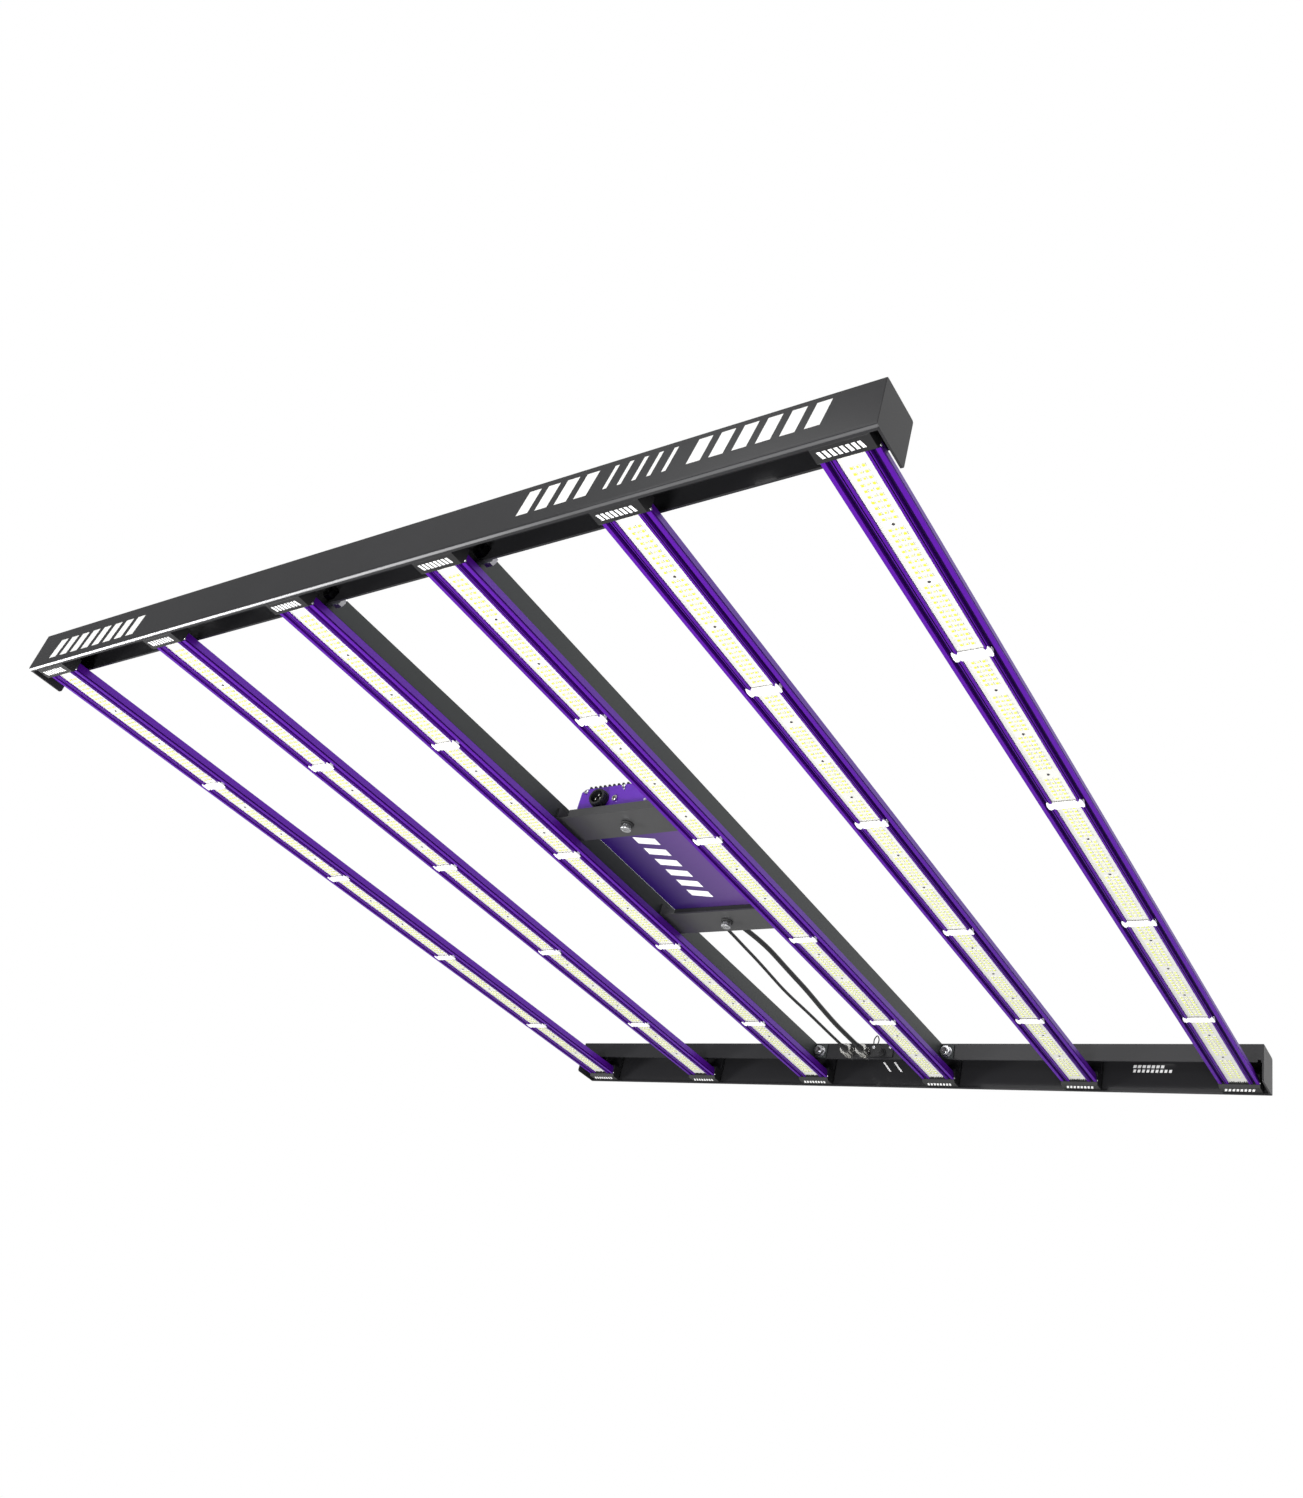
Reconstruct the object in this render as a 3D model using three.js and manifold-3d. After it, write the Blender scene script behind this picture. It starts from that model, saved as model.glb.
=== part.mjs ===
// Six-bar LED grow light: two sheet-metal rails carry six finned LED bars, and two beams
// above the middle bars carry the driver on a pair of brackets.
// Millimetres. +Z is up and the rails stand on z = 0. X runs along the rails, Y along the bars.
// The origin is the middle of the light at the height that the rails stand on.

import * as THREE from 'three';
import { mergeVertices } from 'three/addons/utils/BufferGeometryUtils.js';
import Module from 'manifold-3d';

const wasm = await Module();
wasm.setup();

// ---------------------------------------------------------------- driving dimensions
const WIDTH = 1035;                     // rail length, along X
const LENGTH = 1123;                    // over the outer faces of the two rails, along Y
const GAP = 0.3;                        // clearance between touching pieces
const BAR_COUNT = 6;
const BAR_PITCH = 194;
const BEAM_X = BAR_PITCH / 2;           // the beams lie above the two middle bars

const RAIL = {
  height: 48.2, depth: 43.8, sheet: 2, flangeBottom: 24.5, lip: 5, fold: 3, corner: 2.5, inset: 0.25,
};
const HANG_SLOT = { x: 388, length: 20, width: 9 };

const HEATSINK = {
  bottom: 4.9, top: 16.6, halfWidth: 23.5, halfTop: 20.7, base: 9.6, grooveTop: 8.5,
  slot: [14, 14.7], slotTop: 7, clipGroove: [15.6, 19.6], finThickness: 1.6, finPitch: 4.77,
};
const BOARD = { halfWidth: 11.4, bottom: 6.6, thickness: 1.6 };
const BAR_END = {
  outer: 6, inner: 23.3, innerBottom: 20.3, halfWidth: 23.5, bottom: 1.4, slopeTop: 4.7, blockTop: 19, web: 3,
};

const BEAM = { halfWidth: 10, bottom: 24.8, top: 46.4, sheet: 2, tab: 18, tabBottom: 25 };
const BOLT = { offset: 18.5, z: 34, shank: 4, hole: 4.5, acrossFlats: 13, head: 5.6, washer: 8 };

const BRACKET = { bottom: 22.5, sheet: 2, halfDepth: 24, lipHalf: 68.5, lipTop: 33.2, tabTop: 38 };
const DRIVER_SCREW_Y = 112;             // the two captive screws, each side of the middle
const SCREW = { head: 6, barrel: 4.4, shank: 2.9, hole: 3.4, headBottom: 14, headTop: 16.5, tip: 36 };
const PAD = { halfWidth: 64, outer: 14, inner: 23.5, bottom: 24.8, top: 30 };

const DRIVER = {
  halfLength: 126.5, halfWidth: 67.5, bottom: 30.3, top: 66.3, split: 59, wall: 2.5, plate: 2.5,
  bottomFlat: 65.5, chamferTop: 32.3, topFlat: 62.5, topChamfer: 62.3, finTop: 71.5, finRoot: 64,
  fins: 19, finPitch: 6.6, finHalf: 1.1,
};
const INLET = { x: -36, z: 48.5, flange: 11.6, shroud: 10.2, reach: 9, wall: 2.2 };
const JACK = { x: -15.3, z: 48.2, radius: 3.6 };

// Free cables from the driver to the far rail: route from the driver's far plate to the plug.
const POWER_CABLE = { name: 'power_cable', radius: 3.25, sides: 8, exit: [-18, 46], socket: -9 };
const DIM_CABLE = { name: 'dimming_cable', radius: 2, sides: 8, exit: [-38, 46], socket: -33 };
const SOCKET = { z: 33.5, reach: 10, collar: 3, collarRadius: 8.6, tail: 10, hole: 6.8 };
const GROMMET = { hole: 6.5, radius: 6, length: 12, flange: 8.5 };
const PLUG = { ring: 8.4, barrel: 6.1, body: 4.6, relief: 10, lip: 2, shoulder: 2.2 };

const CONTROL = {
  x: 18, z: 34, barrel: 4.2, cap: 5.4, hole: 6.3, flangeX: 17, flangeBottom: 27, flangeTop: 45,
};
const HARNESS = { y: 533.5, z: 34, trunk: 3, drop: 2.2 };

const INNER_FLANGE_Y = LENGTH / 2 - RAIL.depth;   // the face that the beams butt against
const ROUND = 20;                                 // facets on a small round piece

// ---------------------------------------------------------------- materials
function finish(color, metalness, roughness) {
  return new THREE.MeshStandardMaterial({ color, metalness, roughness });
}
const MATERIAL = {
  rail: finish(0x2e2f31, 0.3, 0.55),
  beam: finish(0x474b4c, 0.3, 0.5),
  bar: finish(0x5a24a8, 0.6, 0.35),
  board: finish(0xf3f4ea, 0, 0.5),
  blackPlastic: finish(0x161618, 0, 0.5),
  driver: finish(0x5b2fa0, 0.3, 0.4),
  fins: finish(0x18181c, 0.4, 0.5),
  steel: finish(0xc9cacc, 0.9, 0.3),
  rubber: finish(0x121213, 0, 0.7),
  circuit: finish(0x1f6b3a, 0, 0.6),
};

// ---------------------------------------------------------------- shape helpers
function shapeOf(points) {
  return new THREE.Shape(points.map(([u, v]) => new THREE.Vector2(u, v)));
}

function roundedRectangle(u0, v0, u1, v1, radius) {
  const shape = new THREE.Shape();
  shape.absarc(u1 - radius, v0 + radius, radius, -Math.PI / 2, 0);
  shape.absarc(u1 - radius, v1 - radius, radius, 0, Math.PI / 2);
  shape.absarc(u0 + radius, v1 - radius, radius, Math.PI / 2, Math.PI);
  shape.absarc(u0 + radius, v0 + radius, radius, Math.PI, 1.5 * Math.PI);
  return shape;
}

// A circular hole in a shape, centred on (u, v).
function roundHole(u, v, radius) {
  const hole = new THREE.Path();
  hole.absarc(u, v, radius, 0, 2 * Math.PI, true);
  return hole;
}

// A straight solid: a shape swept along one axis, from one station to another.
// Along x the shape is drawn in (y, z), along y in (x, z) and along z in (x, y).
function prism(shape, axis, from, to) {
  const options = { depth: to - from, bevelEnabled: false, curveSegments: ROUND / 4 };
  const geometry = new THREE.ExtrudeGeometry(shape, options);
  if (axis === 'x') {
    geometry.applyMatrix4(new THREE.Matrix4().set(0, 0, 1, from, 1, 0, 0, 0, 0, 1, 0, 0, 0, 0, 0, 1));
  } else if (axis === 'y') {
    geometry.applyMatrix4(new THREE.Matrix4().set(1, 0, 0, 0, 0, 0, -1, to, 0, 1, 0, 0, 0, 0, 0, 1));
  } else {
    geometry.translate(0, 0, from);
  }
  return geometry;
}

// A box given by its lowest and highest corners.
function block([x0, y0, z0], [x1, y1, z1]) {
  const geometry = new THREE.BoxGeometry(x1 - x0, y1 - y0, z1 - z0);
  geometry.translate((x0 + x1) / 2, (y0 + y1) / 2, (z0 + z1) / 2);
  return geometry;
}

// A turned solid about the local Y axis, from [radius, y] pairs.
function turned(profile, facets = ROUND) {
  return new THREE.LatheGeometry(profile.map(([r, y]) => new THREE.Vector2(r, y)), facets);
}

// A cylinder along Y between two stations.
function rodY(x, z, radius, from, to, facets = ROUND) {
  const geometry = new THREE.CylinderGeometry(radius, radius, to - from, facets);
  geometry.translate(x, (from + to) / 2, z);
  return geometry;
}

// A cylinder along Z between two heights.
function rodZ(x, y, radius, from, to, facets = ROUND) {
  const geometry = new THREE.CylinderGeometry(radius, radius, to - from, facets);
  geometry.rotateX(Math.PI / 2);
  geometry.translate(x, y, (from + to) / 2);
  return geometry;
}

// A tube of round section along a curve through the points.
function tube(points, radius, sides, steps) {
  const knots = points.map((point) => new THREE.Vector3(...point));
  const curve = new THREE.CatmullRomCurve3(knots, false, 'centripetal');
  const section = [];
  for (let i = 0; i < sides; i += 1) {
    const turn = (2 * Math.PI * i) / sides;
    section.push([radius * Math.cos(turn), radius * Math.sin(turn)]);
  }
  return new THREE.ExtrudeGeometry(shapeOf(section), { steps, extrudePath: curve, bevelEnabled: false });
}

function toSolid(geometry) {
  const bare = geometry.clone();
  bare.deleteAttribute('normal');
  bare.deleteAttribute('uv');
  const merged = mergeVertices(bare);
  return new wasm.Manifold(new wasm.Mesh({
    numProp: 3,
    vertProperties: new Float32Array(merged.attributes.position.array),
    triVerts: new Uint32Array(merged.index.array),
  }));
}

function toGeometry(solid) {
  const mesh = solid.getMesh();
  const geometry = new THREE.BufferGeometry();
  geometry.setAttribute('position', new THREE.BufferAttribute(new Float32Array(mesh.vertProperties), 3));
  geometry.setIndex(new THREE.BufferAttribute(new Uint32Array(mesh.triVerts), 1));
  geometry.computeVertexNormals();
  return geometry;
}

// Joins geometries that touch or overlap, then cuts others out of them.
function joinAndCut(joined, cut = []) {
  let solid = toSolid(joined[0]);
  for (const geometry of joined.slice(1)) {
    solid = solid.add(toSolid(geometry));
  }
  for (const geometry of cut) {
    solid = solid.subtract(toSolid(geometry));
  }
  return toGeometry(solid);
}

const light = new THREE.Group();

function addMesh(parent, name, geometry, material) {
  const mesh = new THREE.Mesh(geometry, material);
  mesh.name = name;
  parent.add(mesh);
  return mesh;
}

// ---------------------------------------------------------------- rails
// A folded channel, open below, drawn with its outer wall at y = 0 and its inner flange at +y.
// The ends are folded shut. The inner flange stops halfway down so that the bars pass under it.
function railGeometry(cutters) {
  const { height, depth, sheet, flangeBottom, lip, fold, corner, inset } = RAIL;
  const foldFacets = 4;
  const lowerFold = [];
  for (let i = 0; i <= foldFacets; i += 1) {
    const turn = (Math.PI / 2) * (i / foldFacets);
    lowerFold.push([fold * (1 - Math.cos(turn)), fold * (1 - Math.sin(turn))]);
  }
  const channel = prism(shapeOf([
    ...lowerFold, [lip, 0], [lip, sheet], [sheet, sheet],
    [sheet, height - sheet], [depth - sheet, height - sheet], [depth - sheet, flangeBottom],
    [depth, flangeBottom], [depth, height - 1], [depth - 1, height], [1, height], [0, height - 1],
  ]), 'x', -WIDTH / 2 + inset, WIDTH / 2 - inset);
  const endOutline = roundedRectangle(inset, inset, depth - inset, height - inset, corner);
  const ends = [-1, 1].map((side) => prism(
    endOutline, 'x',
    Math.min(side * WIDTH / 2, side * (WIDTH / 2 - sheet)),
    Math.max(side * WIDTH / 2, side * (WIDTH / 2 - sheet)),
  ));
  // A relief notch where each end fold meets the inner flange's lower edge.
  const notches = [-1, 1].map((side) => block(
    [side * (WIDTH / 2 - 5) - 2, depth - sheet - 1, flangeBottom - 2],
    [side * (WIDTH / 2 - 5) + 2, depth + 1, flangeBottom + 3],
  ));
  const slots = [-1, 1].map((side) => block(
    [side * HANG_SLOT.x - HANG_SLOT.length / 2, depth / 2 - HANG_SLOT.width / 2, height - sheet - 1],
    [side * HANG_SLOT.x + HANG_SLOT.length / 2, depth / 2 + HANG_SLOT.width / 2, height + 1],
  ));
  return joinAndCut([channel, ...ends], [...notches, ...slots, ...cutters]);
}

// Bolt holes through the inner flange; a turned rail has them on the other side of its middle.
function flangeHoles(xs, z, radius) {
  return xs.map((x) => rodY(x, z, radius, RAIL.depth - RAIL.sheet - 1, RAIL.depth + 1));
}

function addRails() {
  const boltXs = [-BEAM_X + BOLT.offset, BEAM_X + BOLT.offset];
  const nearCutters = flangeHoles(boltXs, BOLT.z, BOLT.hole);
  const near = addMesh(light, 'near_rail', railGeometry(nearCutters), MATERIAL.rail);
  near.position.y = -LENGTH / 2;
  const farCutters = [
    ...flangeHoles(boltXs.map((x) => -x), BOLT.z, BOLT.hole),
    ...flangeHoles([-POWER_CABLE.socket, -DIM_CABLE.socket], SOCKET.z, SOCKET.hole),
    ...flangeHoles([-CONTROL.x], CONTROL.z, CONTROL.hole),
  ];
  const far = addMesh(light, 'far_rail', railGeometry(farCutters), MATERIAL.rail);
  far.position.y = LENGTH / 2;
  far.rotation.z = Math.PI;
}

// ---------------------------------------------------------------- LED bars
// The heat sink's half outline from the middle of its underside to the middle of its top: a
// recess for the board, a lip beside it with a thin slot, the clips' groove, a notched side face
// and upright fins.
function heatsinkHalf() {
  const { bottom, top, halfWidth, halfTop, base, grooveTop, slot, slotTop, clipGroove } = HEATSINK;
  const { finThickness, finPitch } = HEATSINK;
  const seat = BOARD.bottom + BOARD.thickness + 0.2;
  const points = [
    [BOARD.halfWidth + GAP, seat], [BOARD.halfWidth + GAP, bottom],
    [slot[0], bottom], [slot[0], slotTop], [slot[1], slotTop], [slot[1], bottom],
    [clipGroove[0], bottom], [clipGroove[0], grooveTop],
    [clipGroove[1], grooveTop], [clipGroove[1], bottom], [halfWidth - 0.2, bottom],
    [halfWidth, bottom + 0.3], [halfWidth, bottom + 0.9], [halfWidth - 1.6, bottom + 1.3],
    [halfWidth - 1.6, bottom + 2.5], [halfWidth - 0.4, bottom + 2.8], [halfTop, top],
  ];
  for (let fin = 4; fin >= 1; fin -= 1) {
    const middle = fin * finPitch;
    points.push([middle + finThickness / 2, top]);
    points.push([middle - finThickness / 2, top]);
    points.push([middle - finThickness / 2, base]);
    points.push([middle - finPitch + finThickness / 2, base]);
  }
  points.push([finThickness / 2, top]);
  return points;
}

function heatsinkGeometry(from, to) {
  const half = heatsinkHalf();
  const mirrored = half.map(([u, v]) => [-u, v]).reverse();
  return prism(shapeOf([...half, ...mirrored]), 'y', from, to);
}

// The black end block of a bar, drawn with the rail's outer face at y = 0: a low block that
// closes the bar, and a web and foot that hang it from the rail's top.
function barEndGeometry() {
  const { outer, inner, innerBottom, halfWidth, bottom, slopeTop, blockTop, web } = BAR_END;
  const footTop = RAIL.height - RAIL.sheet - GAP;
  return prism(shapeOf([
    [outer + 1, bottom], [innerBottom, bottom], [inner, slopeTop], [inner, blockTop],
    [outer + web, blockTop], [outer + web, footTop - web], [inner, footTop - web], [inner, footTop],
    [outer, footTop], [outer, bottom + 1],
  ]), 'x', -halfWidth, halfWidth);
}

function addBar(index) {
  const bar = new THREE.Group();
  bar.position.x = (index - (BAR_COUNT + 1) / 2) * BAR_PITCH;
  light.add(bar);
  const end = LENGTH / 2 - BAR_END.inner - GAP;
  addMesh(bar, `heatsink_${index}`, heatsinkGeometry(-end, end), MATERIAL.bar);
  const board = block(
    [-BOARD.halfWidth, -end, BOARD.bottom],
    [BOARD.halfWidth, end, BOARD.bottom + BOARD.thickness],
  );
  addMesh(bar, `led_board_${index}`, board, MATERIAL.board);
  const near = addMesh(bar, `near_bar_end_${index}`, barEndGeometry(), MATERIAL.blackPlastic);
  near.position.y = -LENGTH / 2;
  const far = addMesh(bar, `far_bar_end_${index}`, barEndGeometry(), MATERIAL.blackPlastic);
  far.position.y = LENGTH / 2;
  far.rotation.z = Math.PI;
}

// ---------------------------------------------------------------- beams and their bolts
// A channel open above, with a bolt tab folded outwards from its +X wall at each end.
function beamGeometry() {
  const { halfWidth, bottom, top, sheet, tab, tabBottom } = BEAM;
  const end = INNER_FLANGE_Y - GAP;
  const channel = prism(shapeOf([
    [-halfWidth, bottom], [halfWidth, bottom], [halfWidth, top], [halfWidth - sheet, top],
    [halfWidth - sheet, bottom + sheet], [-halfWidth + sheet, bottom + sheet],
    [-halfWidth + sheet, top], [-halfWidth, top],
  ]), 'y', -end, end);
  const tabShape = roundedRectangle(halfWidth - sheet / 2, tabBottom, halfWidth + tab, top - 0.5, 1);
  tabShape.holes.push(roundHole(BOLT.offset, BOLT.z, BOLT.hole));
  const tabs = [prism(tabShape, 'y', -end, -end + sheet), prism(tabShape, 'y', end - sheet, end)];
  return joinAndCut([channel, ...tabs]);
}

// A hexagon with one flat facing straight up and one straight down.
function hexagon(acrossFlats) {
  const radius = acrossFlats / Math.sqrt(3);
  const corners = [];
  for (let i = 0; i < 6; i += 1) {
    const turn = (Math.PI / 3) * i;
    corners.push([radius * Math.cos(turn), radius * Math.sin(turn)]);
  }
  return shapeOf(corners);
}

// A flanged hex bolt along Y, its head towards +y, with its nut on the far side of the sheets.
function beamBoltGeometry() {
  const { shank, acrossFlats, head, washer } = BOLT;
  const seat = GAP;
  const nutFace = -BEAM.sheet - RAIL.sheet - 3 * GAP;
  return joinAndCut([
    rodY(0, 0, washer, seat, seat + 1.5),
    prism(hexagon(acrossFlats), 'y', seat + 1.2, seat + 1.2 + head),
    rodY(0, 0, shank, seat + head + 1, seat + head + 3),
    rodY(0, 0, shank, nutFace - 8, seat + 2),
    prism(hexagon(acrossFlats), 'y', nutFace - 6.5, nutFace),
  ]);
}

function addBeams() {
  const beams = [['left_beam', -BEAM_X], ['right_beam', BEAM_X]];
  for (const [name, x] of beams) {
    addMesh(light, name, beamGeometry(), MATERIAL.beam).position.x = x;
    const tabFace = INNER_FLANGE_Y - GAP - BEAM.sheet;
    const near = addMesh(light, `${name}_near_bolt`, beamBoltGeometry(), MATERIAL.steel);
    near.position.set(x + BOLT.offset, -tabFace, BOLT.z);
    const far = addMesh(light, `${name}_far_bolt`, beamBoltGeometry(), MATERIAL.steel);
    far.position.set(x + BOLT.offset, tabFace, BOLT.z);
    far.rotation.z = Math.PI;
  }
}

// ---------------------------------------------------------------- driver brackets and screws
// A plate under both beams, with a lip along its outer edge beside the driver's end and an
// upright tab inside each beam, drawn with the captive screw's hole at y = 0 and the lip at -y.
function bracketGeometry() {
  const { bottom, sheet, halfDepth, lipHalf, lipTop, tabTop } = BRACKET;
  const plateTop = bottom + sheet;
  const reach = BEAM_X + BEAM.halfWidth;
  const tab = BEAM_X - BEAM.halfWidth - GAP;
  const root = plateTop - sheet / 2;
  const pieces = [
    block([-reach, -halfDepth, bottom], [reach, halfDepth, plateTop]),
    block([-lipHalf, -halfDepth, root], [lipHalf, -halfDepth + sheet, lipTop]),
    block([-tab, -halfDepth, root], [-tab + sheet, halfDepth, tabTop]),
    block([tab - sheet, -halfDepth, root], [tab, halfDepth, tabTop]),
  ];
  return joinAndCut(pieces, [rodZ(0, 0, SCREW.hole, bottom - 1, plateTop + 1)]);
}

// A captive screw on its slotted head, its shank up through the bracket into the driver.
function driverScrewGeometry() {
  const { head, barrel, shank, headBottom, headTop, tip } = SCREW;
  const barrelTop = BRACKET.bottom - GAP;
  const body = turned([
    [0, headBottom], [head - 0.5, headBottom], [head, headBottom + 0.5], [head, headTop],
    [barrel, headTop], [barrel, barrelTop], [shank, barrelTop], [shank, tip - 0.6],
    [shank - 0.6, tip], [0, tip],
  ]);
  body.rotateX(Math.PI / 2);
  const slot = block([-head - 1, -0.7, headBottom - 1], [head + 1, 0.7, headBottom + 1.1]);
  return joinAndCut([body], [slot]);
}

// A rubber pad across the bracket, which keeps the driver off it; the screw passes through.
function padGeometry() {
  const { halfWidth, outer, inner, bottom, top } = PAD;
  return joinAndCut(
    [block([-halfWidth, -outer, bottom], [halfWidth, inner, top])],
    [rodZ(0, 0, SCREW.hole, bottom - 1, top + 1)],
  );
}

function addBrackets() {
  const places = [['near', -DRIVER_SCREW_Y, 0], ['far', DRIVER_SCREW_Y, Math.PI]];
  for (const [where, y, turn] of places) {
    const bracket = addMesh(light, `${where}_driver_bracket`, bracketGeometry(), MATERIAL.beam);
    bracket.position.y = y;
    bracket.rotation.z = turn;
    addMesh(light, `${where}_driver_screw`, driverScrewGeometry(), MATERIAL.steel).position.y = y;
    const pad = addMesh(light, `${where}_driver_pad`, padGeometry(), MATERIAL.rubber);
    pad.position.y = y;
    pad.rotation.z = turn;
  }
}

// ---------------------------------------------------------------- driver
// The tray is the driver's underside and sides; the finned cover closes it above.
function driverTrayGeometry() {
  const { halfLength, halfWidth, bottom, split, wall, plate, bottomFlat, chamferTop } = DRIVER;
  const inset = wall * 0.6;
  const half = [
    [bottomFlat, bottom], [halfWidth, chamferTop], [halfWidth, split], [halfWidth - wall, split],
    [halfWidth - wall, chamferTop + inset], [bottomFlat - inset, bottom + wall],
  ];
  const outline = [...half, ...half.map(([u, v]) => [-u, v]).reverse()];
  const end = halfLength - plate - GAP;
  const holes = [-DRIVER_SCREW_Y, DRIVER_SCREW_Y].map(
    (y) => rodZ(0, y, SCREW.hole, bottom - 1, bottom + wall + 1),
  );
  return joinAndCut([prism(shapeOf(outline), 'y', -end, end)], holes);
}

function driverCoverGeometry() {
  const { halfLength, halfWidth, split, wall, plate, topChamfer } = DRIVER;
  const { finTop, finRoot, fins, finPitch, finHalf } = DRIVER;
  const upper = [];
  for (let i = fins - 1; i >= 0; i -= 1) {
    const x = (i - (fins - 1) / 2) * finPitch;
    upper.push([x + finHalf, finRoot], [x + finHalf, finTop]);
    upper.push([x - finHalf, finTop], [x - finHalf, finRoot]);
  }
  const floor = split + GAP;
  const outline = [
    [halfWidth, floor], [halfWidth, topChamfer], [halfWidth - 1, finRoot], ...upper,
    [-halfWidth + 1, finRoot], [-halfWidth, topChamfer], [-halfWidth, floor], [-halfWidth + wall, floor],
    [-halfWidth + wall, floor + wall], [halfWidth - wall, floor + wall], [halfWidth - wall, floor],
  ];
  const end = halfLength - plate - GAP;
  return prism(shapeOf(outline), 'y', -end, end);
}

function driverOutline() {
  const { halfWidth, bottom, top, bottomFlat, chamferTop, topFlat, topChamfer } = DRIVER;
  const half = [[bottomFlat, bottom], [halfWidth, chamferTop], [halfWidth, topChamfer], [topFlat, top]];
  return shapeOf([...half, ...half.map(([u, v]) => [-u, v]).reverse()]);
}

// The near plate has the inlet's and the jack's holes, and the far plate the cables' holes.
function addDriverPlates() {
  const { halfLength, plate } = DRIVER;
  const nearShape = driverOutline();
  nearShape.holes.push(roundHole(INLET.x, INLET.z, INLET.shroud - 0.4));
  nearShape.holes.push(roundHole(JACK.x, JACK.z, JACK.radius - 0.8));
  const near = prism(nearShape, 'y', -halfLength, -halfLength + plate);
  addMesh(light, 'driver_near_plate', near, MATERIAL.driver);
  const farShape = driverOutline();
  for (const cable of [POWER_CABLE, DIM_CABLE]) {
    farShape.holes.push(roundHole(cable.exit[0], cable.exit[1], GROMMET.hole));
  }
  addMesh(light, 'driver_far_plate', prism(farShape, 'y', halfLength - plate, halfLength), MATERIAL.driver);
}

// The circuit board that turns mains into the bars' current, with its larger components.
function driverCircuitGeometry() {
  const boardTop = 38.6;
  const pieces = [block([-58, -112, boardTop - 1.6], [58, 112, boardTop])];
  const blocks = [
    [-30, -64, 36, 40, 20], [22, -62, 30, 34, 18], [-4, 8, 44, 46, 20], [30, 60, 26, 40, 16],
    [-34, 62, 20, 60, 12],
  ];
  for (const [x, y, sizeX, sizeY, height] of blocks) {
    pieces.push(block(
      [x - sizeX / 2, y - sizeY / 2, boardTop - 0.5],
      [x + sizeX / 2, y + sizeY / 2, boardTop + height],
    ));
  }
  for (const y of [-20, 0, 20]) {
    pieces.push(rodZ(-38, y, 8, boardTop - 0.5, boardTop + 20, 16));
  }
  return joinAndCut(pieces);
}

// The round mains inlet: a flange on the near plate and a shroud around three blades.
function mainsInletGeometry() {
  const { x, z, flange, shroud, reach, wall } = INLET;
  const face = -DRIVER.halfLength;
  const floor = face - 1;
  const body = [
    rodY(x, z, flange, face - 3, face - GAP),
    rodY(x, z, shroud, face - reach, face - 1),
    rodY(x, z, shroud - 1.2, face - 2, face + 10),
  ];
  const cup = joinAndCut(body, [rodY(x, z, shroud - wall, face - reach - 1, floor)]);
  const blades = [[-3.2, -1.6], [3.2, -1.6], [0, 3.4]].map(([dx, dz]) => block(
    [x + dx - 0.7, floor - 3.4, z + dz - 1.4],
    [x + dx + 0.7, floor + 0.5, z + dz + 1.4],
  ));
  return joinAndCut([cup, ...blades]);
}

// A dimming jack: a round nut on a threaded sleeve, bored for the plug.
function dimmingJackGeometry() {
  const face = -DRIVER.halfLength;
  return joinAndCut(
    [
      rodY(JACK.x, JACK.z, JACK.radius, face - 2.2, face - GAP),
      rodY(JACK.x, JACK.z, JACK.radius - 1.2, face - 3, face + 9),
    ],
    [rodY(JACK.x, JACK.z, 1.4, face - 4, face + 5, 16)],
  );
}

function addDriver() {
  addMesh(light, 'driver_tray', driverTrayGeometry(), MATERIAL.driver);
  addMesh(light, 'driver_fin_cover', driverCoverGeometry(), MATERIAL.fins);
  addDriverPlates();
  addMesh(light, 'driver_circuit', driverCircuitGeometry(), MATERIAL.circuit);
  addMesh(light, 'mains_inlet', mainsInletGeometry(), MATERIAL.blackPlastic);
  addMesh(light, 'dimming_jack', dimmingJackGeometry(), MATERIAL.steel);
}

// ---------------------------------------------------------------- cables and their connectors
// Each cable leaves the driver's far plate through a grommet and ends in a plug, which a
// coupling ring holds on a socket in the far rail's inner flange.
const GROMMET_END = DRIVER.halfLength + GROMMET.length;
const PLUG_BACK = INNER_FLANGE_Y - 17;              // where the plug's body meets its strain relief
const CABLE_END = PLUG_BACK - PLUG.relief - GAP;

// Route points in millimetres: straight out of the grommet, over the bracket, sagging towards the
// rail, and straight into the plug.
const ROUTES = {
  power_cable: [
    [-18, GROMMET_END + GAP, 46], [-17.9, 146, 46], [-17.2, 154, 45.8], [-15.6, 163, 45.2],
    [-12.9, 173, 44.4], [-9.4, 186, 43.2], [-6.4, 200, 42], [-4, 217, 40.7], [-3, 238, 39.3],
    [-2.8, 262, 37.9], [-2.6, 290, 36.5], [-2.6, 316, 35.4], [-3.8, 343, 34.6], [-5.4, 367, 34.1],
    [-7.2, 397, 33.7], [-8.6, 425, 33.5], [-9, 455, 33.5], [-9, 475, 33.5], [-9, CABLE_END, 33.5],
  ],
  dimming_cable: [
    [-38, GROMMET_END + GAP, 46], [-38, 146, 45.8], [-37.9, 154, 45.4], [-37.7, 163, 44.6],
    [-37.4, 173, 43.6], [-36.6, 186, 42.5], [-35.6, 210, 40.7], [-34.9, 235, 39.3],
    [-34.8, 262, 37.8], [-35.4, 290, 36.5], [-36, 318, 35.4], [-35.4, 345, 34.6],
    [-34.2, 371, 34.1], [-33.2, 397, 33.6], [-32.8, 425, 33.3], [-33, 455, 33.4], [-33, 475, 33.5],
    [-33, CABLE_END, 33.5],
  ],
};

function grommetGeometry(cable) {
  const [x, z] = cable.exit;
  const plateFace = DRIVER.halfLength;
  const inside = plateFace - DRIVER.plate - 2;
  const profile = [
    [0, inside], [GROMMET.radius, inside], [GROMMET.radius, plateFace + GAP],
    [GROMMET.flange, plateFace + GAP], [GROMMET.flange, plateFace + 2.5],
    [cable.radius + 1.6, GROMMET_END - 1], [cable.radius + 0.9, GROMMET_END], [0, GROMMET_END],
  ];
  const geometry = turned(profile);
  geometry.translate(x, 0, z);
  return geometry;
}

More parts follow.
